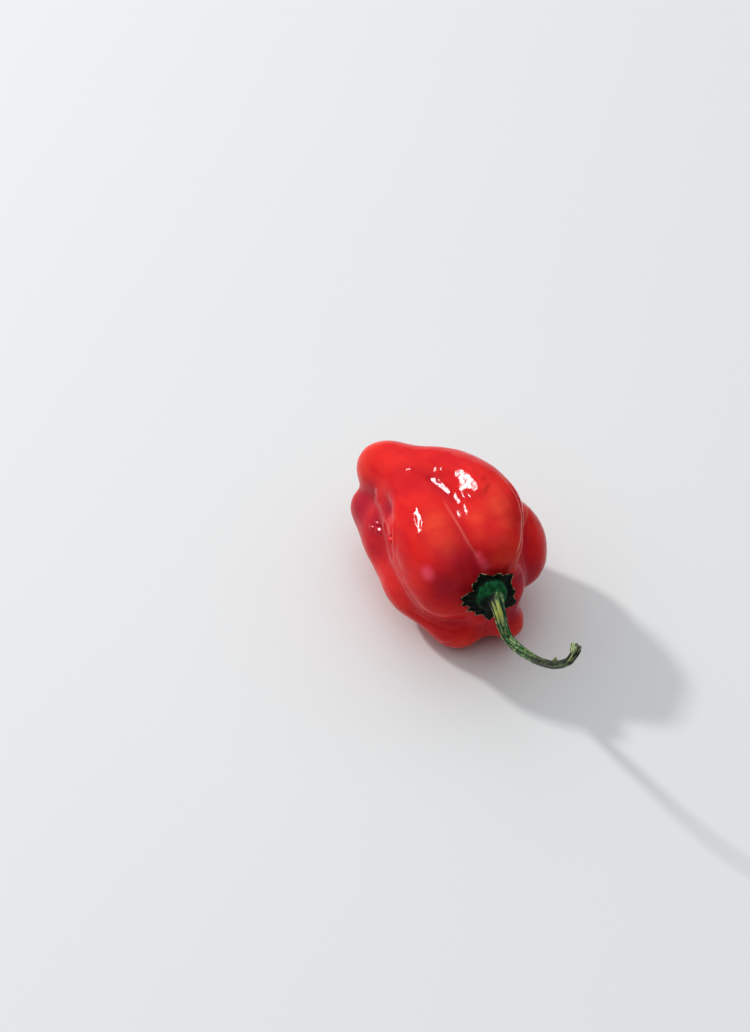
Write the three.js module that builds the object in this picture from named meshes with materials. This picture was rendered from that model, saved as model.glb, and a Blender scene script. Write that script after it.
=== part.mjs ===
// A ripe red habanero chilli, picked with its calyx and stem, lying on its side.
// Millimetres, +Z up. The pod rests on the plane z = 0, with its calyx end turned to the front (-Y) and
// the stem curling up in front of it.
import * as THREE from "three";
import { mergeVertices } from "three/addons/utils/BufferGeometryUtils.js";

// ---- Driving dimensions, mm and degrees -------------------------------------------------------
const POD_CENTRE_HEIGHT = 17; // the middle of the pod above the surface that it lies on
const POD_HEADING = -59; // the way that the calyx end points, seen from above, from +X
const POD_PITCH = 14; // how far the calyx end is raised
const POD_MESH_DETAIL = 17; // each edge of an icosahedron is cut into this many plus one
const POD_REACH = 45; // farther from the pod's middle than any of its skin

const SEAT_GAP = 0.3; // left between one piece and the next
const CALYX_CENTRE = [0.2, -0.9]; // across and up from the pod's axis
const CALYX_TILT = 17; // between the pod's axis and the way that the calyx faces
const CALYX_TILT_TOWARD = 133; // the side of the pod that it tips to
const CALYX_NOTCH_RADIUS = 5.2; // between the teeth
const CALYX_TOOTH_HALF_ANGLE = 24; // from a tooth's tip to its root
const CALYX_MAX_DROP = 2.6; // where a crease runs under the calyx, it bridges it
const CALYX_THICKNESS = 0.8;
const CALYX_RIM_HEIGHT = 0.9; // how far the curled rim stands above the collar
const CALYX_RIM_LIFT = 0.5; // how far its underside curls away from the pod
const STEM_SEAT_RADIUS = 2.3; // the flat top of the calyx, under the stem
const STEM_SEAT_HEIGHT = 2.2; // above the skin of the pod
const DOME_FOOT_RADIUS = 4.1; // where the side of the calyx's dome runs out into its collar

const rad = THREE.MathUtils.degToRad;

// The pod's own frame: z runs from the blossom end to the calyx, y is its top as it lies and x its right
// side. A lobe is an ellipsoid, placed round the pod by its angle from x over the top, its distance out
// from the axis and its place along it. size is its half sizes: outward, round the pod and along it. lean
// tips its calyx end outward and sway tips it on round the pod, both in degrees. blend is the width of the
// rounded valley where it joins the lobes above it in the table.
const LOBES = {
  core: { round: 0, out: 0, along: 0, size: [12, 12, 20.5], blend: 6 },
  crown: { round: 133, out: -2.5, along: 16.8, size: [9, 9, 5], lean: 17, blend: 3 },
  topRightRib: { round: 51, out: 14.8, along: 0, size: [7.4, 8.1, 16.5], lean: 5, sway: -5, blend: 3 },
  rightShoulder: { round: 56, out: 9.6, along: 10.5, size: [8, 8, 12.5], blend: 4 },
  topLeftRib: { round: 112, out: 8, along: 1, size: [8.7, 9.3, 19], sway: 14, blend: 2 },
  leftShoulder: { round: 165, out: 5, along: 8, size: [8, 8, 10.5], blend: 5 },
  backSaddle: { round: 77, out: 10.2, along: -12, size: [7.3, 7.3, 8.5], blend: 5 },
  leftRidge: { round: 213, out: 9.2, along: -5, size: [6.5, 6.5, 18], lean: 13, sway: 12, blend: 3 },
  leftFill: { round: 186, out: 8, along: 11, size: [5.8, 7, 8], blend: 3 },
  leftBulge: { round: 219, out: 11.2, along: 2, size: [5.8, 6, 7.5], blend: 4 },
  underLeftLobe: { round: 253, out: 13.5, along: 9.5, size: [7, 6.8, 8.5], blend: 4 },
  underBackLobe: { round: 277, out: 6.6, along: -7, size: [9.5, 9.5, 15], lean: 8, blend: 4 },
  underRightLobe: { round: 291, out: 15, along: 13, size: [6.7, 5, 8], blend: 5 },
  rightLobe: { round: 351, out: 12.3, along: 4.5, size: [11, 10, 13.5], sway: -15, blend: 3 },
  rightBackLobe: { round: 340, out: 8, along: -9, size: [9, 9, 13], blend: 6 },
  upperKnob: { round: 95, out: 9.4, along: -22, size: [6.5, 6.5, 7.5], lean: 15, blend: 7 },
  knobRoot: { round: 176, out: 6.3, along: -12.5, size: [5.5, 6.5, 7], blend: 4 },
  lowerKnob: { round: 172, out: 6.3, along: -20, size: [5, 5, 7], blend: 2.5 },
};

// The teeth of the calyx, by their angle round it and how far their tips reach.
const TEETH = [
  { round: 18, reach: 6.6 },
  { round: 102, reach: 6.5 },
  { round: 168, reach: 7.1 },
  { round: 209, reach: 6.6 },
  { round: 257, reach: 6.8 },
  { round: 320, reach: 7.2 },
];

// The middle line of the stem after its seat: x, y and height above the surface, with the pod's middle at
// x = y = 0, and the radius of the stem there.
const STEM_LINE = [
  { at: [12.2, -22.7, 23.6], radius: 1.5 },
  { at: [12.7, -24.1, 22.4], radius: 1.35 },
  { at: [13.3, -25.3, 20.0], radius: 1.25 },
  { at: [14.6, -27.3, 17.5], radius: 1.15 },
  { at: [16.6, -30.0, 17.4], radius: 1.1 },
  { at: [18.8, -35.1, 21.3], radius: 1.0 },
  { at: [21.3, -42.2, 28.1], radius: 0.9 },
  { at: [23.7, -46.9, 33.6], radius: 0.85 },
  { at: [26.1, -48.6, 36.9], radius: 0.85 },
  { at: [27.3, -47.8, 38.4], radius: 0.9 },
  { at: [27.9, -46.3, 38.8], radius: 1.2 },
];

// ---- The pod ----------------------------------------------------------------------------------

// Distance from a point to an ellipsoid's skin, negative inside.
function ellipsoidDistance(point, lobe) {
  const scaled = point.clone().sub(lobe.centre).applyQuaternion(lobe.unturn).divide(lobe.half);
  const reach = scaled.length();
  const slope = scaled.divide(lobe.half).length();
  return slope > 0 ? (reach * (reach - 1)) / slope : -lobe.half.x;
}

// The smaller of two distances, rounded off where they meet.
function softMin(a, b, blend) {
  const overlap = Math.max(blend - Math.abs(a - b), 0) / blend;
  return Math.min(a, b) - (overlap * overlap * blend) / 4;
}

function placeLobe({ round, out, along, size, lean = 0, sway = 0, blend }) {
  const angle = rad(round);
  const outward = new THREE.Vector3(Math.cos(angle), Math.sin(angle), 0);
  const across = new THREE.Vector3(-Math.sin(angle), Math.cos(angle), 0);
  const lengthwise = new THREE.Vector3(0, 0, 1);
  const turn = new THREE.Quaternion()
    .setFromAxisAngle(outward, rad(-sway))
    .multiply(new THREE.Quaternion().setFromAxisAngle(across, rad(lean)))
    .multiply(new THREE.Quaternion().setFromAxisAngle(lengthwise, angle));
  return {
    centre: outward.clone().multiplyScalar(out).setZ(along),
    half: new THREE.Vector3(...size),
    unturn: turn.invert(),
    blend,
  };
}

const placedLobes = Object.values(LOBES).map(placeLobe);

function podDistance(point) {
  let distance = ellipsoidDistance(point, placedLobes[0]);
  for (const lobe of placedLobes.slice(1)) {
    distance = softMin(distance, ellipsoidDistance(point, lobe), lobe.blend);
  }
  return distance;
}

// How far the skin lies from a point in one direction, coming in from a reach outside it.
function skinAlong(start, direction, reach) {
  const MARCH_STEP = 0.5;
  const HALVINGS = 20;
  const probe = (far) => podDistance(direction.clone().multiplyScalar(far).add(start));
  let inner = reach;
  while (inner > -reach && probe(inner) > 0) inner -= MARCH_STEP;
  let outer = inner + MARCH_STEP;
  for (let i = 0; i < HALVINGS; i += 1) {
    const middle = (inner + outer) / 2;
    if (probe(middle) > 0) outer = middle;
    else inner = middle;
  }
  return (inner + outer) / 2;
}

function podTurn() {
  const heading = rad(POD_HEADING);
  const pitch = rad(POD_PITCH);
  const axis = new THREE.Vector3(
    Math.cos(pitch) * Math.cos(heading),
    Math.cos(pitch) * Math.sin(heading),
    Math.sin(pitch),
  );
  const right = new THREE.Vector3().crossVectors(new THREE.Vector3(0, 0, 1), axis).normalize();
  const top = new THREE.Vector3().crossVectors(axis, right);
  return new THREE.Matrix4().makeBasis(right, top, axis).setPosition(0, 0, POD_CENTRE_HEIGHT);
}

const layDown = podTurn();

function podGeometry() {
  const ball = new THREE.IcosahedronGeometry(1, POD_MESH_DETAIL);
  ball.deleteAttribute("normal");
  ball.deleteAttribute("uv");
  const geometry = mergeVertices(ball);
  const places = geometry.attributes.position;
  const middle = new THREE.Vector3();
  const place = new THREE.Vector3();
  for (let i = 0; i < places.count; i += 1) {
    place.fromBufferAttribute(places, i).normalize();
    place.multiplyScalar(skinAlong(middle, place, POD_REACH)).applyMatrix4(layDown);
    places.setXYZ(i, place.x, place.y, Math.max(place.z, 0)); // pressed flat where it rests
  }
  geometry.computeVertexNormals();
  return geometry;
}

// ---- Closed skins made of rings ---------------------------------------------------------------

// A closed skin through rings of points that all run the same way round, with a pole point at each end.
function closedSkin(firstPole, rings, lastPole) {
  const sides = rings[0].length;
  const points = [...rings.flat(), firstPole, lastPole];
  const first = points.length - 2;
  const last = points.length - 1;
  const bottom = (rings.length - 1) * sides;
  const faces = [];
  for (let side = 0; side < sides; side += 1) {
    const next = (side + 1) % sides;
    faces.push(first, next, side);
    faces.push(last, bottom + side, bottom + next);
    for (let row = 0; row < bottom; row += sides) {
      const above = row + sides;
      faces.push(row + side, row + next, above + next);
      faces.push(row + side, above + next, above + side);
    }
  }
  const geometry = new THREE.BufferGeometry().setFromPoints(points);
  geometry.setIndex(faces);
  geometry.computeVertexNormals();
  return geometry;
}

// ---- The calyx --------------------------------------------------------------------------------

// Where the calyx sits, in the pod's own frame: its middle, and the way that it faces as z.
function placeCalyx() {
  const side = rad(CALYX_TILT_TOWARD);
  const tiltAxis = new THREE.Vector3(-Math.sin(side), Math.cos(side), 0);
  const tilt = new THREE.Quaternion().setFromAxisAngle(tiltAxis, rad(CALYX_TILT));
  const [across, up] = CALYX_CENTRE;
  const alongAxis = new THREE.Vector3(0, 0, 1);
  const crown = skinAlong(new THREE.Vector3(across, up, 0), alongAxis, POD_REACH);
  return new THREE.Matrix4().makeRotationFromQuaternion(tilt).setPosition(across, up, crown);
}

const calyxPlace = placeCalyx();

function calyxEdgeRadius(angle) {
  let reach = CALYX_NOTCH_RADIUS;
  for (const tooth of TEETH) {
    const apart = Math.abs(THREE.MathUtils.euclideanModulo(angle - tooth.round + 180, 360) - 180);
    const rise = Math.max(1 - apart / CALYX_TOOTH_HALF_ANGLE, 0);
    reach = Math.max(reach, CALYX_NOTCH_RADIUS + (tooth.reach - CALYX_NOTCH_RADIUS) * rise);
  }
  return reach;
}

function calyxGeometry() {
  const SEGMENTS = 72;
  const UNDER_RINGS = [0.25, 0.5, 0.75, 0.9, 1]; // parts of the edge's radius
  const TOP_RINGS = [0.97, 0.9, 0.82, 0.74, 0.66, 0.58, 0.5, 0.42, 0.32, 0.16];
  const SKIN_SEARCH = 8; // how far above its place the skin is looked for
  const facing = new THREE.Vector3(0, 0, 1).transformDirection(calyxPlace);

  // The underside follows the pod's skin, bridges a deep crease and curls up at the rim.
  function undersideHeight(x, y, outness) {
    const foot = new THREE.Vector3(x, y, 0).applyMatrix4(calyxPlace);
    const lift = CALYX_RIM_LIFT * THREE.MathUtils.smoothstep(outness, 0.75, 1);
    return Math.max(skinAlong(foot, facing, SKIN_SEARCH), -CALYX_MAX_DROP) + SEAT_GAP + lift;
  }

  // The top is flat under the stem, falls to a collar and rises again to the curled rim.
  function topHeight(x, y, outness) {
    const collar = undersideHeight(x, y, 0) + CALYX_THICKNESS;
    const rim = CALYX_RIM_HEIGHT * THREE.MathUtils.smoothstep(outness, 0.7, 0.95);
    const away = THREE.MathUtils.smoothstep(Math.hypot(x, y), STEM_SEAT_RADIUS, DOME_FOOT_RADIUS);
    return THREE.MathUtils.lerp(STEM_SEAT_HEIGHT, collar + rim, away);
  }

  function ring(outness, height) {
    const points = [];
    for (let i = 0; i < SEGMENTS; i += 1) {
      const angle = (360 * i) / SEGMENTS;
      const radius = calyxEdgeRadius(angle) * outness;
      const x = radius * Math.cos(rad(angle));
      const y = radius * Math.sin(rad(angle));
      points.push(new THREE.Vector3(x, y, height(x, y, outness)).applyMatrix4(calyxPlace));
    }
    return points;
  }

  const rings = [
    ...UNDER_RINGS.map((outness) => ring(outness, undersideHeight)),
    ...TOP_RINGS.map((outness) => ring(outness, topHeight)),
  ];
  const under = new THREE.Vector3(0, 0, undersideHeight(0, 0, 0)).applyMatrix4(calyxPlace);
  const seat = new THREE.Vector3(0, 0, STEM_SEAT_HEIGHT).applyMatrix4(calyxPlace);
  return closedSkin(under, rings, seat).applyMatrix4(layDown);
}

// ---- The stem ---------------------------------------------------------------------------------

function stemGeometry() {
  const SIDES = 16;
  const RINGS = 70;
  const toGround = new THREE.Matrix4().multiplyMatrices(layDown, calyxPlace);
  const onCalyx = (height) => new THREE.Vector3(0, 0, height).applyMatrix4(toGround);
  const stations = [
    { at: onCalyx(STEM_SEAT_HEIGHT + SEAT_GAP), radius: 2.0 },
    { at: onCalyx(STEM_SEAT_HEIGHT + SEAT_GAP + 1.1), radius: 1.7 },
    ...STEM_LINE.map(({ at, radius }) => ({ at: new THREE.Vector3(...at), radius })),
  ];
  const line = new THREE.CatmullRomCurve3(stations.map(({ at }) => at));
  const radii = stations.map(({ radius }, i) => new THREE.Vector3(i, radius, 0));
  const girth = new THREE.CatmullRomCurve3(radii);
  const frames = line.computeFrenetFrames(RINGS);

  const rings = [];
  for (let i = 0; i <= RINGS; i += 1) {
    const along = i / RINGS;
    const middle = line.getPointAt(along);
    const radius = girth.getPoint(line.getUtoTmapping(along)).y;
    const ring = [];
    for (let side = 0; side < SIDES; side += 1) {
      const angle = (2 * Math.PI * side) / SIDES;
      ring.push(
        middle
          .clone()
          .addScaledVector(frames.normals[i], radius * Math.cos(angle))
          .addScaledVector(frames.binormals[i], radius * Math.sin(angle)),
      );
    }
    rings.push(ring);
  }
  return closedSkin(line.getPointAt(0), rings, line.getPointAt(1));
}

// ---- The whole chilli -------------------------------------------------------------------------

const glossyRedSkin = new THREE.MeshStandardMaterial({ color: 0xd42222, roughness: 0.25, metalness: 0 });
const darkGreenCollar = new THREE.MeshStandardMaterial({ color: 0x14361d, roughness: 0.6, metalness: 0 });
const dullGreenStem = new THREE.MeshStandardMaterial({ color: 0x4b6642, roughness: 0.6, metalness: 0 });

const chilli = new THREE.Group();
const pieces = [
  ["pod", podGeometry(), glossyRedSkin],
  ["calyx", calyxGeometry(), darkGreenCollar],
  ["stem", stemGeometry(), dullGreenStem],
];
for (const [name, geometry, material] of pieces) {
  const piece = new THREE.Mesh(geometry, material);
  piece.name = name;
  chilli.add(piece);
}

// The origin is the middle of the underside of the whole chilli's box.
const bounds = new THREE.Box3().setFromObject(chilli);
const middle = bounds.getCenter(new THREE.Vector3());
chilli.position.set(-middle.x, -middle.y, 0);

export default chilli;
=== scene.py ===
import math

import bpy
import numpy as np
from mathutils import Matrix, Vector, noise


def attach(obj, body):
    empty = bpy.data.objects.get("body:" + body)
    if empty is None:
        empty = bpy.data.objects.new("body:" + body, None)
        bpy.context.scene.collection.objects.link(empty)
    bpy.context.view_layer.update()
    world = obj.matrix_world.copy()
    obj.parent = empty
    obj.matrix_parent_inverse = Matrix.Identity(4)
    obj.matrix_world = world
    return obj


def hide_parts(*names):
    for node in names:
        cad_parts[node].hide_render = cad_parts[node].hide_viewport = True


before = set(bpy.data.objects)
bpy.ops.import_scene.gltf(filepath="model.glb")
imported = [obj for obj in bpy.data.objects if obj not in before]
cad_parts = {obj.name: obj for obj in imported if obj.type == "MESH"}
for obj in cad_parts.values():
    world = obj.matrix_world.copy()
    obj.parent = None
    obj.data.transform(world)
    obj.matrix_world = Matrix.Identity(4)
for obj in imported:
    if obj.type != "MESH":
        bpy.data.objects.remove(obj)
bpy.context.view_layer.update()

MM = 0.001  # metres

# ---- Measures shared with the CAD ---------------------------------------------------------------
POD_MIDDLE = np.array([-4.03, 11.30, 17.0])
POD_HEADING = -59  # the way that the calyx end points, seen from above, from +X
POD_PITCH = 14  # how far the calyx end is raised
POD_REACH = 45  # farther from the pod's middle than any of its skin

# The pod's own frame: z runs from the blossom end to the calyx, y is its top as it lies and x its
# right side. A lobe is an ellipsoid, placed by its angle round the pod, its distance out from the
# axis and its place along it. size is its half sizes outward, round the pod and along it. lean tips
# its calyx end outward and sway tips it round the pod. blend is the width of the rounded valley
# where it joins the lobes above it in the table.
LOBES = [
    dict(round=0, out=0, along=0, size=(12, 12, 20.5)),  # core
    dict(round=133, out=-2.5, along=16.8, size=(9, 9, 5), lean=17, blend=3),  # crown
    dict(round=51, out=14.8, along=0, size=(7.4, 8.1, 16.5), lean=5, sway=-5, blend=3),  # right rib
    dict(round=56, out=9.6, along=10.5, size=(8, 8, 12.5), blend=4),  # right shoulder
    dict(round=112, out=8, along=1, size=(8.7, 9.3, 19), sway=14, blend=2),  # left rib
    dict(round=165, out=5, along=8, size=(8, 8, 10.5), blend=5),  # left shoulder
    dict(round=77, out=10.2, along=-12, size=(7.3, 7.3, 8.5), blend=5),  # back saddle
    dict(round=213, out=9.2, along=-5, size=(6.5, 6.5, 18), lean=13, sway=12, blend=3),  # left side
    dict(round=186, out=8, along=11, size=(5.8, 7, 8), blend=3),  # left fill
    dict(round=219, out=11.2, along=2, size=(5.8, 6, 7.5), blend=4),  # left bulge
    dict(round=253, out=13.5, along=9.5, size=(7, 6.8, 8.5), blend=4),  # under left lobe
    dict(round=277, out=6.6, along=-7, size=(9.5, 9.5, 15), lean=8, blend=4),  # under back lobe
    dict(round=291, out=15.0, along=13, size=(6.7, 5, 8), blend=5),  # under right lobe
    dict(round=351, out=12.3, along=4.5, size=(11, 10, 13.5), sway=-15, blend=3),  # right lobe
    dict(round=340, out=8, along=-9, size=(9, 9, 13), blend=6),  # right back lobe
    dict(round=95, out=9.4, along=-22, size=(6.5, 6.5, 7.5), lean=15, blend=7),  # upper knob
    dict(round=176, out=6.3, along=-12.5, size=(5.5, 6.5, 7), blend=4),  # knob root
    dict(round=172, out=6.3, along=-20, size=(5, 5, 7), blend=2.5),  # lower knob
]

CALYX_CENTRE = (0.2, -0.9)  # across and up from the pod's axis
CALYX_TILT = 17  # between the pod's axis and the way that the calyx faces
CALYX_TILT_TOWARD = 133  # the side of the pod that it tips to
CALYX_NOTCH_RADIUS = 5.2  # between the teeth
CALYX_MAX_DROP = 2.6  # how far down it follows the skin; it bridges a deeper crease
STEM_SEAT_HEIGHT = 2.2  # the top of the calyx's dome, above the skin of the pod

# The middle line of the stem after its seat, from the pod's middle in x and y and from the floor in
# z, and its radius there.
STEM_LINE = [
    ((12.2, -22.7, 23.6), 1.5),
    ((12.7, -24.1, 22.4), 1.35),
    ((13.3, -25.3, 20.0), 1.25),
    ((14.6, -27.3, 17.5), 1.15),
    ((16.6, -30.0, 17.4), 1.1),
    ((18.8, -35.1, 21.3), 1.0),
    ((21.3, -42.2, 28.1), 0.9),
    ((23.7, -46.9, 33.6), 0.85),
    ((26.1, -48.6, 36.9), 0.85),
    ((27.3, -47.8, 38.4), 0.9),
    ((27.9, -46.3, 38.8), 1.2),
]


# ---- Small tools --------------------------------------------------------------------------------
def smoothstep(values, low, high):
    share = np.clip((np.asarray(values, float) - low) / (high - low), 0, 1)
    return share * share * (3 - 2 * share)


def mound(gap, width, power=2):
    """1 where there is no gap, falling to 0 beyond the width, more sharply with a higher power."""
    return np.exp(-((gap / width) ** power))


def unit(vectors):
    return vectors / np.linalg.norm(vectors, axis=-1, keepdims=True)


def rotation(axis, degrees):
    return np.array(Matrix.Rotation(math.radians(degrees), 3, Vector(axis)))


def perlin(points, size, seed=0):
    """Smooth noise from -1 to 1 at each point, with features of about that size."""
    SEED_SHIFT = np.array([17.3, -5.1, 29.7])
    shift = SEED_SHIFT * (seed + 1)
    return np.array([noise.noise(p) for p in (np.asarray(points) / size + shift).tolist()])


def between(t, low, high, first, last):
    """The point from first to last that t stands for, as it goes from low to high."""
    return ((high - t) * first + (t - low) * last) / (high - low)


def smooth_line(points, count):
    """That many points, evenly spaced, on a smooth line through the given ones."""
    STEPS = 24  # of each stretch, before the points are spaced evenly
    points = np.array(points, float)
    points = np.vstack([2 * points[0] - points[1], points, 2 * points[-1] - points[-2]])
    gaps = np.linalg.norm(np.diff(points, axis=0), axis=1)
    knots = np.concatenate([[0], np.cumsum(gaps**0.5)])
    dense = []
    for i in range(1, len(points) - 2):
        t = np.linspace(knots[i], knots[i + 1], STEPS, endpoint=False)[:, None]
        p, k = points[i - 1 : i + 3], knots[i - 1 : i + 3]
        low = [between(t, k[j], k[j + 1], p[j], p[j + 1]) for j in range(3)]
        mid = [between(t, k[j], k[j + 2], low[j], low[j + 1]) for j in range(2)]
        dense.append(between(t, k[1], k[2], mid[0], mid[1]))
    dense = np.vstack([*dense, points[-2][None]])
    run = np.concatenate([[0], np.cumsum(np.linalg.norm(np.diff(dense, axis=0), axis=1))])
    even = np.linspace(0, run[-1], count)
    return np.stack([np.interp(even, run, dense[:, axis]) for axis in range(dense.shape[1])], 1)


def point_normals(points, faces):
    """The normal at each point of a mesh of quads."""
    corners = points[faces]
    across = np.cross(corners[:, 2] - corners[:, 0], corners[:, 3] - corners[:, 1])
    sums = [np.bincount(faces.ravel(), np.repeat(column, 4), len(points)) for column in across.T]
    return unit(np.stack(sums, 1))


def softened(values, faces, rounds):
    """Values at a mesh's points, each averaged with its neighbours' that many times."""
    near, far = faces.ravel(), np.roll(faces, -1, axis=1).ravel()
    here, there = np.concatenate([near, far]), np.concatenate([far, near])
    count = np.bincount(here, minlength=len(values))
    for _ in range(rounds):
        sums = [np.bincount(here, column[there], len(values)) / count for column in values.T]
        values = (values + np.stack(sums, 1)) / 2
    return values


# ---- The skin of the pod ------------------------------------------------------------------------
def place_lobe(round, out, along, size, blend=0, lean=0, sway=0):
    angle = math.radians(round)
    outward = np.array([math.cos(angle), math.sin(angle), 0])
    across = np.array([-math.sin(angle), math.cos(angle), 0])
    turn = rotation(outward, -sway) @ rotation(across, lean) @ rotation((0, 0, 1), round)
    return outward * out + (0, 0, along), turn, np.array(size, float), blend


placed_lobes = [place_lobe(**lobe) for lobe in LOBES]


def lobe_distance(points, centre, turn, half):
    scaled = (points - centre) @ turn / half
    reach = np.linalg.norm(scaled, axis=1)
    slope = np.linalg.norm(scaled / half, axis=1)
    return reach * (reach - 1) / np.maximum(slope, 1e-9)


def skin_distance(points):
    """About how far each point is from the skin, negative inside."""
    centre, turn, half, _ = placed_lobes[0]
    distance = lobe_distance(points, centre, turn, half)
    for centre, turn, half, blend in placed_lobes[1:]:
        other = lobe_distance(points, centre, turn, half)
        overlap = np.maximum(blend - abs(distance - other), 0) / blend
        distance = np.minimum(distance, other) - overlap**2 * blend / 4
    return distance


def skin_along(starts, directions, reach):
    """How far the skin lies from each start in its direction, coming in from a reach outside it."""
    ROUNDS = 40
    STEP = 0.75  # of the distance that is left
    far = np.full(len(starts), float(reach))
    for _ in range(ROUNDS):
        far -= STEP * skin_distance(starts + far[:, None] * directions)
    return far


def pod_turn():
    """The pod's own axes as columns, in the part's frame."""
    heading, pitch = math.radians(POD_HEADING), math.radians(POD_PITCH)
    level = math.cos(pitch)
    axis = np.array([level * math.cos(heading), level * math.sin(heading), math.sin(pitch)])
    right = unit(np.cross((0, 0, 1), axis))
    return np.stack([right, np.cross(axis, right), axis], 1)


lay_down = pod_turn()


def laid_down(points):
    return points @ lay_down.T + POD_MIDDLE


def skin_directions(angles):
    """Directions from the pod's middle, from angles round its axis and up towards the calyx."""
    round_, rise = np.radians(np.array(angles, float)).T
    level = np.cos(rise)
    return np.stack([level * np.cos(round_), level * np.sin(round_), np.sin(rise)], 1)


def ball_grid(cells):
    """Directions all round in six even square patches, and the square faces between them."""
    steps = np.tan(np.linspace(-math.pi / 4, math.pi / 4, cells + 1))
    across, up = np.meshgrid(steps, steps, indexing="ij")
    patch = np.stack([across, up, np.ones_like(across)], -1).reshape(-1, 3)
    corner = np.arange(cells)[:, None] * (cells + 1) + np.arange(cells)[None, :]
    next_row = corner + cells + 1
    square = np.stack([corner, next_row, next_row + 1, corner + 1], -1).reshape(-1, 4)
    turns = [rotation((0, 1, 0), 90 * k) for k in range(4)]
    turns += [rotation((1, 0, 0), 90), rotation((1, 0, 0), -90)]
    points = np.vstack([patch @ turn.T for turn in turns])
    faces = np.vstack([square + len(patch) * k for k in range(6)])
    rounded = (points * 1e5).round()  # so that the points where patches meet are the same
    _, first, place = np.unique(rounded, axis=0, return_index=True, return_inverse=True)
    return unit(points[first]), place.ravel()[faces]


# ---- Lines in the skin --------------------------------------------------------------------------
# Each line runs through angles round the pod and up towards the calyx. Its profile is a list of
# parts: how far the part lies to the line's left, its half width and its height. Its last setting
# is how much its colour pales: along the seams that is their own paler colour, and along the rims
# of the ribs it is a painted rim highlight.
SKIN_LINES = {
    "top_seam": dict(
        path=[(88, 8), (89.5, 17), (91.4, 27), (94, 43), (96, 55.5), (95, 63), (94.3, 71)],
        profile=[(0, 1.1, -0.2), (0, 0.28, 0.06)],
        pale_and_rim_light=0.3,
    ),
    "left_rib_rim": dict(
        path=[(131, -9), (142, 2.5), (150, 5.4), (160, 7.5), (168, 13.5), (172.5, 21), (173.5, 29)],
        profile=[(0.7, 0.8, 0.3), (-0.55, 0.45, -0.55), (0.1, 0.3, 0.2)],
        # painted rim highlight along the rib's edge
        pale_and_rim_light=1.0,
    ),
    "right_rib_rim": dict(
        path=[
            (50, 18), (46.3, 32), (45, 39), (43, 43.5), (42.6, 49), (45, 55.5), (48, 60.6), (52, 66)
        ],
        profile=[(-0.6, 0.8, 0.15), (0.9, 0.42, -0.7), (0, 0.3, 0.16)],
        # painted rim highlight along the rib's edge
        pale_and_rim_light=0.9,
    ),
    "right_rib_hollow": dict(
        path=[(77.5, -12), (76, -2), (75, 8), (74.5, 18), (75, 28), (76, 36)],
        profile=[(0, 1.5, -0.3)],
    ),
    "knob_valley": dict(
        path=[(131, -62), (131, -54), (129, -36), (131, -15), (138, -4)],
        profile=[(0, 1.6, -0.5)],
    ),
    "under_left_crease": dict(
        path=[(206, 24), (212, 31), (219, 39), (228, 47), (239, 55), (249, 64)],
        profile=[(0, 0.6, -0.3)],
    ),
    "bottom_crease": dict(
        path=[(270, 44), (266, 54), (264, 62), (263, 70)],
        profile=[(0, 0.5, -0.5)],
    ),
    "back_seam": dict(
        path=[(20, -60), (15, -40), (12, -20), (10, 0), (14, 20), (20, 40), (24, 62)],
        profile=[(0, 0.8, -0.2), (0, 0.22, 0.1)],
        pale_and_rim_light=0.3,
    ),
    "under_seam": dict(
        path=[(316, -58), (318, -35), (320, -10), (318, 12), (316, 34), (312, 58)],
        profile=[(0, 0.8, -0.2), (0, 0.22, 0.1)],
        pale_and_rim_light=0.3,
    ),
    "left_seam": dict(
        path=[(236, -58), (238, -36), (236, -14), (233, 8), (236, 30), (240, 50)],
        profile=[(0, 0.7, -0.15), (0, 0.22, 0.1)],
        pale_and_rim_light=0.3,
    ),
}


# Flats in the skin. Each follows a path of the same kind of angles, and faces one way in the part's
# frame. The first is the side of the knob's valley. The others face the way that mirrors the key
# light to the camera, and so carry the highlights. broken is the height of the small bumps on a
# flat, and edge is how sharply it ends.
LEFT_GLINT = (-0.430, -0.129, 0.893)
FLATS = [
    dict(path=[(126, -44), (128, -34), (130, -25)], width=2.3, facing=(-0.84, -0.30, 0.45), edge=3),
    dict(path=[(84.7, -12.5), (83.5, -5.4), (82.2, 0.1)], width=0.8, facing=(-0.454, -0.138, 0.88)),
    dict(path=[(81.5, 3), (80.6, 12)], width=0.95, facing=(-0.455, -0.136, 0.88)),
    dict(path=[(80.4, 16), (81.2, 24.5)], width=0.95, facing=(-0.456, -0.133, 0.88)),
    dict(
        path=[(70.3, 5.5), (69.4, 14), (69, 22)],
        width=2.1,
        facing=(-0.455, -0.137, 0.88),
        broken=0.024,
        edge=3.5,
    ),
    dict(path=[(111, 8.5), (117.3, 19.3), (124.5, 27)], width=0.62, facing=(-0.445, -0.127, 0.886)),
    dict(path=[(95.3, -28.8), (91.5, -27.7)], width=0.75, facing=(-0.445, -0.143, 0.884), edge=4),
    dict(path=[(158.9, -43), (157.9, -40.9)], width=0.75, facing=LEFT_GLINT, edge=4),
    dict(path=[(155.8, -36.6), (154.8, -34.2)], width=0.85, facing=LEFT_GLINT, edge=4),
    dict(path=[(151.6, -40.5), (150.2, -39.7)], width=0.68, facing=LEFT_GLINT, edge=4),
    dict(path=[(148, -3), (147, -1.5)], width=0.7, facing=(-0.435, -0.125, 0.892), edge=4),
]
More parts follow.
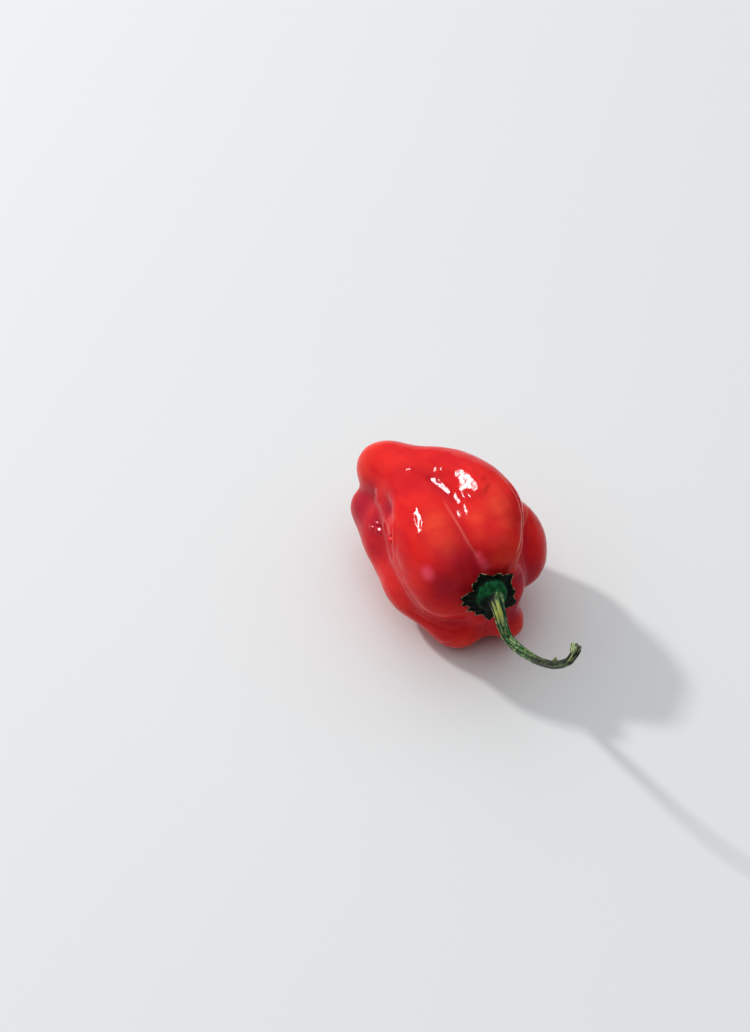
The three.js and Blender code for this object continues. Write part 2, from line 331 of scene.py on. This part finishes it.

# Spots of another colour, by the angles of their middle, their radius and their strength.
# Orange spots: partly the pod's own riper tone, partly painted sheen on the flanks of the ribs.
ORANGE_AND_SHEEN_SPOTS = [
    (109, 30, 3.0, 0.9),
    (113, 41, 3.0, 1.0),
    (118, 49, 2.2, 0.6),
    (62, 28, 2.4, 0.5),
    (63, 38, 2.8, 1.0),
    (60, 48, 2.4, 0.5),
    (79, 42, 2.2, 0.7),
    (84, 52, 2.0, 0.4),
    (100, -40, 5.0, 0.15),
    (20, 0, 6.0, 0.4),
    (300, 10, 5.0, 0.4),
    (215, -20, 5.0, 0.3),
]
# Crimson spots: painted shade where the pod lies in shade, in its valleys and towards the calyx and
# the floor.
PAINTED_SHADE_SPOTS = [
    (158, -60, 6.5, 1.0),
    (131, -54, 4.0, 0.8),
    (130, -28, 3.5, 0.9),
    (152, -40, 4.5, 0.8),
    (175, -33, 4.5, 0.5),
    (340, 57, 5.5, 0.9),
    (355, 69, 3.0, 1.0),
    (152, 61, 5.2, 0.65),
    (120, 61, 5.2, 0.6),
    (302, 66, 5.0, 1.0),
    (260, -30, 7.0, 0.4),
]
# Pink spots: painted reflection, soft rosy glows on the skin.
PAINTED_REFLECTION_SPOTS = [
    (148, 47.5, 1.7, 0.8),
    (93.5, 64, 1.0, 0.5),
    (92, 68, 1.1, 0.6),
    (90.5, 72, 1.1, 0.6),
]


def line_effect(points, path, profile, pale_and_rim_light=0):
    """How far one line raises the skin, and its paling: painted rim light on the ribs' rims."""
    SAMPLES = 240
    REACH = 4.0  # farther than any part's effect
    FADE_IN, FADE_OUT, PALE_FADE_IN = 0.18, 0.85, 0.35  # shares of the line's length
    PALE_WIDTH = 0.24
    directions = unit(smooth_line(skin_directions(path), SAMPLES))
    line = directions * skin_along(np.zeros((SAMPLES, 3)), directions, POD_REACH)[:, None]
    ahead = unit(np.gradient(line, axis=0))
    left = unit(np.cross(directions, ahead))
    low, high = line.min(0) - REACH, line.max(0) + REACH
    near = np.flatnonzero(((points > low) & (points < high)).all(1))
    gaps = points[near, None] - line[None]
    nearest = np.linalg.norm(gaps, axis=2).argmin(1)
    gap = gaps[np.arange(len(near)), nearest]
    side = (gap * left[nearest]).sum(1)
    rest = np.sqrt(np.maximum((gap**2).sum(1) - side**2, 0))
    along = nearest / (SAMPLES - 1)
    strength = smoothstep(along, 0, FADE_IN) * (1 - smoothstep(along, FADE_OUT, 1))
    strength *= 0.75 + 0.25 * perlin(line[nearest], 2.2, seed=3)
    raised, paling_and_rim_light = np.zeros(len(points)), np.zeros(len(points))
    for offset, width, height in profile:
        raised[near] += height * strength * np.exp(-((side - offset) ** 2 + rest**2) / width**2)
    middle = np.exp(-(side**2 + rest**2) / PALE_WIDTH**2)
    paling_and_rim_light[near] = pale_and_rim_light * strength * smoothstep(along, 0, PALE_FADE_IN) * middle
    return raised, paling_and_rim_light


def flattened(points, normals, directions, path, width, facing, broken=0, edge=5):
    """The skin's points with one flat pressed into them."""
    SAMPLES = 24
    LEAST_SLOPE = 0.3  # so that skin seen edge on isn't moved far
    facing = unit(np.array(facing)) @ lay_down
    slope = np.maximum(normals @ facing, LEAST_SLOPE)
    way = unit(smooth_line(skin_directions(path), SAMPLES))
    middles = points[(directions @ way.T).argmax(0)]
    off_plane = (middles.mean(0) - points) @ facing / slope
    near = np.linalg.norm(points[:, None] - middles[None], axis=2).min(1)
    uneven = width * (1 + 0.25 * perlin(points, 1.4, seed=6))
    bumps = broken * perlin(points, 0.75, seed=17)
    share = mound(near, uneven, edge)
    return points + ((off_plane + bumps) * share)[:, None] * normals


def spotted(points, directions, spots, edge=2):
    """How strongly each point of the skin takes the colour of the spots."""
    strength = np.zeros(len(points))
    for around, rise, radius, most in spots:
        middle = points[(directions @ skin_directions([(around, rise)])[0]).argmax()]
        gap = np.linalg.norm(points - middle, axis=1)
        strength = np.maximum(strength, most * mound(gap, radius, edge))
    return strength


# ---- Meshes and pieces --------------------------------------------------------------------------
def add_mesh(name, points, faces, material, **fields):
    """A smooth piece, with numbers at its points that its material reads by name."""
    mesh = bpy.data.meshes.new(name)
    mesh.from_pydata((points * MM).tolist(), [], faces)
    mesh.shade_smooth()
    for field, values in fields.items():
        attribute = mesh.attributes.new(field, "FLOAT", "POINT")
        attribute.data.foreach_set("value", values.astype(np.float32))
    mesh.materials.append(material)
    mesh.update()
    piece = bpy.data.objects.new(name, mesh)
    bpy.context.scene.collection.objects.link(piece)
    return piece


def closed_tube(count, rows):
    """The faces of a tube with that many points in each row, closed at both ends."""
    here = np.arange(count)
    after = np.roll(here, -1)
    faces = []
    for row in range(rows - 1):
        quads = np.stack([here, after, after + count, here + count], 1) + row * count
        faces += quads.tolist()
    faces.append(here[::-1].tolist())
    faces.append((here + (rows - 1) * count).tolist())
    return faces


def stand_for(piece, node):
    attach(piece, "root")
    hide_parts(node)


# ---- Materials ----------------------------------------------------------------------------------
class Nodes:
    """The nodes of one material, with short ways to add the usual ones."""

    def __init__(self, name):
        self.material = bpy.data.materials.new(name)
        self.material.use_nodes = True
        self.tree = self.material.node_tree
        self.shader = self.tree.nodes["Principled BSDF"]
        self.place = self.add("ShaderNodeTexCoord").outputs["Object"]

    def add(self, kind, **settings):
        node = self.tree.nodes.new(kind)
        for key, value in settings.items():
            setattr(node, key, value)
        return node

    def feed(self, socket, value):
        if isinstance(value, bpy.types.NodeSocket):
            self.tree.links.new(value, socket)
        else:
            socket.default_value = value

    def set(self, **values):
        for key, value in values.items():
            self.feed(self.shader.inputs[key.replace("_", " ")], value)

    def field(self, name):
        return self.add("ShaderNodeAttribute", attribute_name=name).outputs["Fac"]

    def noise(self, size, detail=2, roughness=0.5):
        """Noise with features of about size millimetres."""
        node = self.add("ShaderNodeTexNoise")
        node.inputs["Scale"].default_value = 1 / (size * MM)
        node.inputs["Detail"].default_value = detail
        node.inputs["Roughness"].default_value = roughness
        self.feed(node.inputs["Vector"], self.place)
        return node.outputs["Fac"]

    def spread(self, value, low, high, to_low=0.0, to_high=1.0):
        """The value, from low to high, spread smoothly over another range."""
        node = self.add("ShaderNodeMapRange", interpolation_type="SMOOTHSTEP")
        for key, number in (
            ("Value", value),
            ("From Min", low),
            ("From Max", high),
            ("To Min", to_low),
            ("To Max", to_high),
        ):
            self.feed(node.inputs[key], number)
        return node.outputs["Result"]

    def maths(self, operation, first, second):
        node = self.add("ShaderNodeMath", operation=operation)
        self.feed(node.inputs[0], first)
        self.feed(node.inputs[1], second)
        return node.outputs[0]

    def mix(self, share, first, second):
        """A colour between two, by share."""
        SHARE, FIRST, SECOND, COLOUR = 0, 6, 7, 2  # the node's sockets for colours
        node = self.add("ShaderNodeMix", data_type="RGBA")
        self.feed(node.inputs[SHARE], share)
        self.feed(node.inputs[FIRST], first)
        self.feed(node.inputs[SECOND], second)
        return node.outputs[COLOUR]

    def bump(self, height, distance, under=None):
        """Small bumps in the surface, distance millimetres high, over other ones."""
        node = self.add("ShaderNodeBump")
        node.inputs["Strength"].default_value = 1.0
        node.inputs["Distance"].default_value = distance * MM
        self.feed(node.inputs["Height"], height)
        if under is not None:
            self.feed(node.inputs["Normal"], under)
        return node.outputs["Normal"]


def pod_material():
    RIPE = (0.66, 0.013, 0.019, 1)
    RIPE_LIGHT = (0.79, 0.020, 0.019, 1)
    STREAK = (0.82, 0.032, 0.020, 1)
    ORANGE_AND_SHEEN = (0.92, 0.075, 0.035, 1)
    SHADE_CRIMSON = (0.42, 0.010, 0.030, 1)
    HOLLOW_SHADE = (0.42, 0.010, 0.024, 1)
    PINK_REFLECTION = (1.0, 0.09, 0.14, 1)
    FLECK = (0.84, 0.035, 0.02, 1)
    SCAR = (0.16, 0.07, 0.03, 1)
    PALE_AND_RIM_LIGHT = (0.98, 0.36, 0.25, 1)

    look = Nodes("pod_skin")
    patches = look.spread(look.noise(9, detail=3), 0.35, 0.65)
    colour = look.mix(patches, RIPE, RIPE_LIGHT)
    streaks = look.spread(look.field("grain"), 0.35, 0.75, to_high=0.35)
    colour = look.mix(streaks, colour, STREAK)
    # Orange: partly the pod's own riper tone, partly painted sheen on the ribs.
    mottle = look.spread(look.noise(4, detail=3), 0.25, 0.65, to_low=0.45)
    colour = look.mix(look.maths("MULTIPLY", look.field("orange_and_sheen"), mottle), colour, ORANGE_AND_SHEEN)
    # Painted shade: a deep red where the pod lies in shade.
    colour = look.mix(look.field("painted_shade"), colour, SHADE_CRIMSON)
    # Painted shade: darker in the valleys.
    colour = look.mix(look.maths("MULTIPLY", look.field("painted_hollow_shade"), 0.7), colour, HOLLOW_SHADE)
    # Painted reflection: soft rosy glows.
    colour = look.mix(look.field("painted_reflection"), colour, PINK_REFLECTION)
    flecks = look.spread(look.noise(0.55, detail=3, roughness=0.6), 0.60, 0.8, to_high=0.3)
    colour = look.mix(flecks, colour, FLECK)
    colour = look.mix(look.field("scar"), colour, SCAR)
    # Paler along the seams, and a painted rim highlight along the rims of the ribs.
    colour = look.mix(look.field("pale_and_rim_light"), colour, PALE_AND_RIM_LIGHT)

    gloss = look.noise(3.5, detail=4, roughness=0.6)
    gloss = look.spread(gloss, 0.3, 0.7, to_low=0.05, to_high=0.12)
    waxy = look.maths("ADD", gloss, look.maths("MULTIPLY", look.field("scar"), 0.4))
    dimples = look.bump(look.noise(1.5, detail=3, roughness=0.6), 0.02)
    fine = look.bump(look.noise(0.45, detail=2), 0.006, under=dimples)
    look.set(
        Base_Color=colour,
        Roughness=waxy,
        Specular_IOR_Level=0.045,
        Subsurface_Weight=0.12,
        Subsurface_Radius=(1.0, 0.2, 0.12),
        Subsurface_Scale=1.8 * MM,
        Normal=fine,
    )
    return look.material


def calyx_material():
    DOME, DOME_LIGHT = (0.004, 0.060, 0.020, 1), (0.014, 0.18, 0.052, 1)
    SHADE = (0.005, 0.012, 0.006, 1)
    # The collar's near black is partly its own dark colour and partly painted shade.
    COLLAR, COLLAR_LIGHT = (0.0008, 0.002, 0.001, 1), (0.003, 0.010, 0.004, 1)
    DRY = (0.42, 0.36, 0.20, 1)

    look = Nodes("calyx_green")
    mottle = look.spread(look.noise(1.2, detail=4, roughness=0.65), 0.35, 0.65)
    dome = look.mix(mottle, DOME, DOME_LIGHT)
    dome = look.mix(look.field("shade"), dome, SHADE)
    # Partly painted shade: the collar nearly black.
    collar = look.mix(mottle, COLLAR, COLLAR_LIGHT)
    green = look.mix(look.field("dome"), collar, dome)
    edge_noise = look.noise(0.8, detail=3)
    dry = look.maths("MULTIPLY", look.field("rim"), look.spread(edge_noise, 0.46, 0.60))
    colour = look.mix(dry, green, DRY)
    ripples = look.bump(look.noise(0.9, detail=4, roughness=0.7), 0.16)
    grain = look.bump(look.noise(0.25, detail=3), 0.03, under=ripples)
    look.set(
        Base_Color=colour,
        Roughness=look.spread(look.noise(1.4, detail=3), 0.3, 0.7, to_low=0.45, to_high=0.65),
        Specular_IOR_Level=0.12,
        Normal=grain,
    )
    return look.material


def stem_material():
    FRESH, FRESH_LIGHT = (0.008, 0.055, 0.012, 1), (0.045, 0.18, 0.040, 1)
    DULL, DULL_LIGHT = (0.006, 0.011, 0.005, 1), (0.032, 0.043, 0.019, 1)
    GROOVE_SHADE = (0.003, 0.008, 0.004, 1)
    SIDE_SHADE = (0.008, 0.013, 0.008, 1)
    FIBRE = (0.40, 0.50, 0.20, 1)
    TORN = (0.55, 0.60, 0.12, 1)
    CUT = (0.42, 0.44, 0.26, 1)

    look = Nodes("stem_green")
    mottle = look.spread(look.noise(1.6, detail=4, roughness=0.65), 0.35, 0.65)
    fresh = look.mix(mottle, FRESH, FRESH_LIGHT)
    dull = look.mix(mottle, DULL, DULL_LIGHT)
    colour = look.mix(look.spread(look.field("along"), 0.42, 0.68), fresh, dull)
    # Painted shade in the grooves.
    colour = look.mix(look.field("groove_shade"), colour, GROOVE_SHADE)
    # Painted shade on one side of the stem's base.
    colour = look.mix(look.field("side_shade"), colour, SIDE_SHADE)
    colour = look.mix(look.field("fibre"), colour, FIBRE)
    colour = look.mix(look.field("torn"), colour, TORN)
    colour = look.mix(look.field("cut"), colour, CUT)
    grain = look.bump(look.noise(0.35, detail=4, roughness=0.7), 0.05)
    look.set(
        Base_Color=colour,
        Roughness=look.spread(look.noise(1.1, detail=3), 0.3, 0.7, to_low=0.45, to_high=0.7),
        Specular_IOR_Level=0.3,
        Normal=grain,
    )
    return look.material


# ---- The pod ------------------------------------------------------------------------------------
def calyx_place():
    """The middle of the calyx and its axes as columns, in the pod's own frame."""
    side = math.radians(CALYX_TILT_TOWARD)
    turn = rotation((-math.sin(side), math.cos(side), 0), CALYX_TILT)
    across, up = CALYX_CENTRE
    crown = skin_along(np.array([[across, up, 0.0]]), np.array([[0, 0, 1.0]]), POD_REACH)[0]
    return np.array([across, up, crown]), turn


calyx_middle, calyx_turn = calyx_place()


def calyx_creases(skin):
    """How far each point of the skin is raised by the small creases round the calyx."""
    RING, RING_WIDTH = 6.4, 2.6  # where they are deepest, from the calyx's middle, and how wide
    UNDERSIDE = -6  # the skin below this, seen from the calyx, has none
    DRAWN_OUT = 0.06  # along the creases, so that they run away from the calyx
    from_calyx = (skin - calyx_middle) @ calyx_turn
    away = np.hypot(from_calyx[:, 0], from_calyx[:, 1])
    beside = mound(away - RING, RING_WIDTH) * (from_calyx[:, 2] > UNDERSIDE)
    angle = np.arctan2(from_calyx[:, 1], from_calyx[:, 0])
    ring = np.stack([np.cos(angle), np.sin(angle), away * DRAWN_OUT], 1)
    return beside * 0.16 * perlin(ring, 0.16, seed=5)


def make_pod():
    CELLS = 128  # along each side of the skin's six patches
    SKIN_ROUNDS, WIDE_ROUNDS, PRESSED_ROUNDS = 10, 90, 2  # of softening
    SCAR_TOWARD = (0.1, 0.12, -1)  # the blossom end
    DRAWN_OUT = (1, 1, 0.22)  # along the pod
    directions, faces = ball_grid(CELLS)
    skin = directions * skin_along(np.zeros_like(directions), directions, POD_REACH)[:, None]
    skin = softened(skin, faces, SKIN_ROUNDS)
    normals = point_normals(skin, faces)
    # How far each point stands out from its wider surroundings: negative in the valleys.
    swell = ((skin - softened(skin, faces, WIDE_ROUNDS)) * normals).sum(1)
    # Painted shade: darker colour in the valleys.
    painted_hollow_shade = 1 - smoothstep(swell, -0.30, 0.08)
    ridge = smoothstep(swell, 0.12, 0.34)

    raised = 0.22 * perlin(skin, 8.5) + 0.07 * perlin(skin, 3.4, seed=1)
    raised += 0.022 * perlin(skin, 1.5, seed=2)
    pale_and_rim_light = np.zeros(len(skin))
    for line in SKIN_LINES.values():
        lift, paling_and_rim_light = line_effect(skin, **line)
        raised += lift
        pale_and_rim_light = np.maximum(pale_and_rim_light, paling_and_rim_light)
    raised += calyx_creases(skin)
    scar_gap = np.linalg.norm(skin - skin[(skin @ SCAR_TOWARD).argmax()], axis=1)
    scar = 1 - smoothstep(scar_gap, 0.35, 0.8)
    raised -= 0.35 * mound(scar_gap, 0.9)
    raised += 0.3 * mound(scar_gap, 0.35)

    pressed = skin + raised[:, None] * normals
    for flat in FLATS:
        pressed = flattened(pressed, normals, directions, **flat)
    pressed = softened(pressed, faces, PRESSED_ROUNDS)
    ripples = 0.006 * perlin(skin, 0.9, seed=13) + 0.008 * perlin(skin, 1.3, seed=14)
    place = laid_down(pressed + ripples[:, None] * normals)
    place[:, 2] = np.maximum(place[:, 2], 0)  # pressed flat where it rests
    grain = perlin(skin * DRAWN_OUT, 1.6, seed=15)
    fields = dict(
        painted_hollow_shade=painted_hollow_shade,
        # Paler seams, and a painted rim highlight on the rims of the ribs.
        pale_and_rim_light=pale_and_rim_light,
        scar=scar,
        grain=0.5 + 0.5 * grain,
        # Orange: partly painted sheen, also on the crests of the ribs.
        orange_and_sheen=np.maximum(spotted(skin, directions, ORANGE_AND_SHEEN_SPOTS), 0.35 * ridge),
        # Painted shade where the pod lies in shade.
        painted_shade=spotted(skin, directions, PAINTED_SHADE_SPOTS),
        # Painted reflection.
        painted_reflection=spotted(skin, directions, PAINTED_REFLECTION_SPOTS, edge=3),
    )
    return add_mesh("pod_skin", place, faces.tolist(), pod_material(), **fields)


# ---- The calyx ----------------------------------------------------------------------------------
# The teeth, by their angle round the calyx, how far their tips reach, how high they curl and how
# many degrees they are wide on each side.
TEETH = [
    dict(round=41, reach=7.2, curl=1.5, half=21),
    dict(round=68, reach=6.5, curl=1.4, half=14),
    dict(round=106, reach=7.4, curl=1.4, half=24),
    dict(round=131, reach=6.8, curl=1.2, half=11),
    dict(round=161, reach=8.3, curl=1.2, half=18),
    dict(round=176, reach=7.4, curl=1.0, half=11),
    dict(round=194, reach=7.0, curl=0.8, half=13),
    dict(round=217, reach=6.2, curl=0.8, half=11),
    dict(round=253, reach=6.6, curl=0.7, half=25),
    dict(round=321, reach=7.1, curl=0.7, half=21),
    dict(round=352, reach=5.7, curl=1.1, half=16),
]


def calyx_edge(angles):
    """How far the edge reaches at each angle, and how high it curls."""
    NOTCH_CURL = 0.9
    turn = np.radians(angles)
    ring = np.stack([np.cos(turn), np.sin(turn), np.zeros(len(angles))], 1)
    notch = CALYX_NOTCH_RADIUS + 0.5 * np.cos(np.radians(angles - 115))
    reach = notch + 0.2 * perlin(ring, 0.35, seed=7) + 0.15 * perlin(ring, 0.09, seed=8)
    curl = NOTCH_CURL + 0.4 * perlin(ring, 0.5, seed=9) + 0.3 * perlin(ring, 0.12, seed=10)
    for tooth in TEETH:
        apart = abs((angles - tooth["round"] + 180) % 360 - 180)
        rise = np.maximum(1 - apart / tooth["half"], 0) ** 1.2
        reach += (tooth["reach"] - notch) * rise
        curl += (tooth["curl"] - NOTCH_CURL) * rise
    return reach, curl


def make_calyx():
    SEGMENTS = 432
    # The rings of its underside and top, as shares of the way to the edge.
    UNDER = np.array([0.02, 0.3, 0.6, 0.75, 0.85, 0.92, 0.97, 1.0])
    TOP = np.concatenate([np.linspace(1, 0.62, 18), np.linspace(0.60, 0.2, 14), [0.1, 0.02]])
    SKIN_SEARCH = 8  # how far above its place the skin is looked for
    SKIN_GAP = 0.2
    THICKNESS, EDGE_THINNER_BY = 0.6, 0.45
    DOME_MIDDLE = (-0.4, 0.8)
    SHADE_MIDDLE = (-1.9, -0.7)
    SPINES, SPINE_ANGLE = 6, 18  # the low ridges of the dome, and where the first lies
    angles = np.arange(SEGMENTS) * 360 / SEGMENTS
    reach, curl = calyx_edge(angles)
    cos, sin = np.cos(np.radians(angles)), np.sin(np.radians(angles))
    spines = np.cos(np.radians((angles - SPINE_ANGLE) * SPINES))
    facing = calyx_turn[:, 2]

    def under(share):
        x, y = reach * share * cos, reach * share * sin
        feet = calyx_middle + np.stack([x, y, np.zeros_like(x)], 1) @ calyx_turn.T
        height = skin_along(feet, np.tile(facing, (len(x), 1)), SKIN_SEARCH)
        height = np.maximum(height, -CALYX_MAX_DROP)
        lift = curl * smoothstep(share, 0.7, 1) ** 1.3
        return np.stack([x, y, height + SKIN_GAP + lift], 1)

    def top(share):
        x, y, z = under(share).T
        away = np.hypot(x - DOME_MIDDLE[0], y - DOME_MIDDLE[1])
        folds = perlin(np.stack([cos * 3.2, sin * 3.2, away * 0.35], 1), 0.55, seed=11)
        thick = THICKNESS - EDGE_THINNER_BY * smoothstep(share, 0.72, 0.95)
        collar = z + thick + 0.24 * folds * smoothstep(share, 0.45, 0.7)
        dome = STEM_SEAT_HEIGHT + 0.25 - 0.5 * smoothstep(away, 0.8, 3.2)
        dome = dome + 0.12 * spines * smoothstep(away, 1.2, 2.4)
        z = dome + (collar - dome) * smoothstep(away, 3.1, 4.3)
        z = z + 0.05 * perlin(np.stack([x, y, np.zeros_like(x)], 1), 0.5, seed=12)
        return np.stack([x, y, z], 1)

    local = np.vstack([under(share) for share in UNDER] + [top(share) for share in TOP])
    shares = np.concatenate([UNDER, TOP])
    x, y = local[:, 0], local[:, 1]
    rim = smoothstep(np.repeat(shares, SEGMENTS), 0.955, 0.985)
    shade = 1 - smoothstep(np.hypot(x - SHADE_MIDDLE[0], y - SHADE_MIDDLE[1]), 1.4, 2.9)
    away = np.hypot(x - DOME_MIDDLE[0], y - DOME_MIDDLE[1])
    dome = 1 - smoothstep(away + 0.3 * perlin(local, 1.1, seed=16), 3.4, 3.9)
    place = laid_down(calyx_middle + local @ calyx_turn.T)
    faces = closed_tube(SEGMENTS, len(shares))
    fields = dict(rim=rim, shade=shade, dome=dome)
    return add_mesh("calyx_collar", place, faces, calyx_material(), **fields)


# ---- The stem -----------------------------------------------------------------------------------
def stem_line(rings):
    """The middle line of the stem at that many places, and the radius there."""
    SMOOTHED_OVER = 13  # places

    def on_calyx(height):
        return laid_down(calyx_middle + calyx_turn[:, 2] * height)

    stations = [(on_calyx(STEM_SEAT_HEIGHT - 0.6), 2.5), (on_calyx(STEM_SEAT_HEIGHT + 0.5), 1.6)]
    shift = POD_MIDDLE * (1, 1, 0)
    stations += [(np.array(at) + shift, radius) for at, radius in STEM_LINE]
    places = np.array([at for at, _ in stations])
    line = smooth_line(places, rings)
    nearest = [np.linalg.norm(line - at, axis=1).argmin() for at in places]
    radii = np.interp(np.arange(rings), nearest, [radius for _, radius in stations])
    radii = np.pad(radii, SMOOTHED_OVER // 2, "edge")
    return line, np.convolve(radii, np.ones(SMOOTHED_OVER) / SMOOTHED_OVER, "valid")


def across_line(ahead):
    """Two directions across a line at each of its points, carried along it without a twist."""
    normal = unit(np.cross(ahead[0], (1, 0, 0.2)))
    first = []
    for way in ahead:
        normal = unit(normal - way * (normal @ way))
        first.append(normal)
    first = np.array(first)
    return first, np.cross(ahead, first)


def make_stem():
    SIDES = 72
    RINGS = 460
    RIBS = 7
    TWIST = 0.035  # radians for each millimetre
    DRAWN_OUT = 0.055  # along the fibres
    NUB_ALONG, NUB_ANGLE = 0.80, 1.9 + math.pi
    # The rings inside the cut end: their size as a share of its edge, and how deep they lie.
    CUT_RINGS = ((0.82, 0.02), (0.6, 0.28), (0.35, 0.34), (0.12, 0.22))
    TORN_AT, TORN_LENGTH = 5.0, 1.6
    TORN_TOWARD = (-0.45, -0.6, 0.66)

    line, radii = stem_line(RINGS)
    ahead = unit(np.gradient(line, axis=0))
    first, second = across_line(ahead)
    length = np.linalg.norm(np.diff(line, axis=0), axis=1).sum()
    angle, at = np.meshgrid(
        np.arange(SIDES) * 2 * math.pi / SIDES, np.linspace(0, length, RINGS)
    )
    outward = first[:, None] * np.cos(angle)[..., None] + second[:, None] * np.sin(angle)[..., None]
    twist = angle + at * TWIST
    grain = np.stack([np.cos(twist), np.sin(twist), at * DRAWN_OUT], -1).reshape(-1, 3)

    def fibrous(size, seed, stretch=(1, 1, 1)):
        """Noise that is drawn out along the stem's fibres."""
        return perlin(grain * stretch, size, seed=seed).reshape(angle.shape)

    streaks = fibrous(0.34, seed=20)
    fine = fibrous(0.16, seed=21, stretch=(1, 1, 2.4))
    knobbly = fibrous(0.5, seed=22, stretch=(0.8, 0.8, 6))
    ribs = 0.55 * np.cos(RIBS * twist + 0.9 * np.sin(at * 0.13)) + 0.6 * streaks
    rough = 0.11 * ribs + 0.06 * fine + 0.05 * knobbly
    rough *= smoothstep(at, 0.6, 3.0)

    nub_gap = np.hypot(at - NUB_ALONG * length, np.angle(np.exp(1j * (angle - NUB_ANGLE))))
    nub = mound(nub_gap, 0.38)
    radius = radii[:, None] * (1 + rough) + 0.9 * nub
    flare = smoothstep(at, length - 1.4, length)
    radius = radius * (1 + flare * (0.1 + 0.16 * np.cos(3 * angle + 0.5)))
    slant = flare * 0.55 * np.cos(angle - 0.6) + flare * 0.2 * fibrous(0.2, seed=23)
    place = (
        line[:, None]
        + ahead[:, None] * slant[..., None]
        + first[:, None] * (radius * np.cos(angle))[..., None]
        + second[:, None] * (radius * np.sin(angle))[..., None]
    )
    edge = place[-1]
    heart = edge.mean(0)
    cut_end = [heart + (edge - heart) * share - ahead[-1] * sink for share, sink in CUT_RINGS]
    rows = [*place, *cut_end]

    def padded(values, end):
        """The values of the stem's side, with one value for the cut end."""
        return np.concatenate([values.ravel(), np.full(len(cut_end) * SIDES, float(end))])

    # Painted shade: darker in the grooves between the stem's ribs.
    groove_shade = smoothstep(-ribs, 0.0, 0.45) * smoothstep(at, 1, 4)
    # Painted shade: the stem's -x side darker near its base.
    side_shade = smoothstep(-outward[..., 0], -0.1, 0.4) * (1 - smoothstep(at, 3.4, 4.8))
    dashes = smoothstep(fibrous(0.5, seed=24, stretch=(1, 1, 5)), -0.3, 0.15)
    along = at / length
    fewer = 1 - 0.7 * smoothstep(along, 0.45, 0.65) * (1 - smoothstep(along, 0.86, 0.95))
    fibre = smoothstep(0.6 * streaks + fine, 0.05, 0.4) * dashes * fewer * (1 - side_shade)
    strip = outward @ unit(np.array(TORN_TOWARD)) + 0.6 * streaks + 0.4 * fine
    torn = mound(at - TORN_AT, TORN_LENGTH) * smoothstep(strip, 0.75, 1.15)
    cut = 0.5 * smoothstep(at, length - 0.5, length)
    fields = dict(
        groove_shade=padded(groove_shade, 0),
        fibre=padded(fibre, 0),
        torn=padded(np.maximum(torn, 0.5 * nub), 0),
        cut=padded(cut, 1),
        side_shade=padded(side_shade, 0),
        along=padded(along, 1),
    )
    faces = closed_tube(SIDES, len(rows))
    return add_mesh("stem_stalk", np.vstack(rows), faces, stem_material(), **fields)


stand_for(make_pod(), "pod")
stand_for(make_calyx(), "calyx")
stand_for(make_stem(), "stem")


# ---- Floor, light and camera --------------------------------------------------------------------
# Lengths are in metres from here on.
def make_floor():
    HALF = 3
    look = Nodes("floor_card")
    look.set(Base_Color=(0.78, 0.785, 0.77, 1), Roughness=0.38)
    mesh = bpy.data.meshes.new("floor")
    corners = [(-HALF, -HALF, 0), (HALF, -HALF, 0), (HALF, HALF, 0), (-HALF, HALF, 0)]
    mesh.from_pydata(corners, [], [(0, 1, 2, 3)])
    mesh.materials.append(look.material)
    floor = bpy.data.objects.new("floor", mesh)
    bpy.context.scene.collection.objects.link(floor)


def make_softbox(name, toward, distance, width, height, energy):
    """A rectangular light that shines on the part from a direction."""
    data = bpy.data.lights.new(name, "AREA")
    data.shape = "RECTANGLE"
    data.size, data.size_y = width, height
    data.energy = energy
    light = bpy.data.objects.new(name, data)
    bpy.context.scene.collection.objects.link(light)
    way = Vector(toward).normalized()
    light.location = way * distance
    light.rotation_euler = way.to_track_quat("Z", "Y").to_euler()


def make_sky():
    """Soft light all round, brightest from the back and above."""
    BRIGHTEST_TOWARD = (-0.15, 0.30, 0.942)
    world = bpy.data.worlds.new("studio")
    world.use_nodes = True
    tree = world.node_tree
    back = tree.nodes["Background"]
    way = tree.nodes.new("ShaderNodeTexCoord").outputs["Generated"]
    toward = tree.nodes.new("ShaderNodeVectorMath")
    toward.operation = "DOT_PRODUCT"
    toward.inputs[1].default_value = BRIGHTEST_TOWARD
    tree.links.new(way, toward.inputs[0])
    fall = tree.nodes.new("ShaderNodeMapRange")
    fall.interpolation_type = "SMOOTHSTEP"
    for key, value in (("From Min", 0.1), ("From Max", 1.0), ("To Min", 0.03), ("To Max", 1.15)):
        fall.inputs[key].default_value = value
    tree.links.new(toward.outputs["Value"], fall.inputs["Value"])
    tree.links.new(fall.outputs["Result"], back.inputs["Strength"])
    back.inputs["Color"].default_value = (0.93, 0.96, 1.0, 1)
    bpy.context.scene.world = world


def make_camera():
    """A long lens that looks down at the part as steeply as the photo does."""
    LOOKS_DOWN = 50
    data = bpy.data.cameras.new("camera")
    data.lens = 100
    data.sensor_width = 36
    data.clip_start = 0.01
    camera = bpy.data.objects.new("camera", data)
    bpy.context.scene.collection.objects.link(camera)
    camera.location = (-0.0192, -0.4074, 0.5264)
    camera.rotation_euler = (math.radians(90 - LOOKS_DOWN), 0, 0)
    bpy.context.scene.camera = camera


make_floor()
make_softbox(
    "key", toward=(-0.661, 0.441, 0.607), distance=1.3, width=0.105, height=0.09, energy=8.2
)
make_sky()
make_camera()
bpy.context.scene.view_settings.view_transform = "Standard"
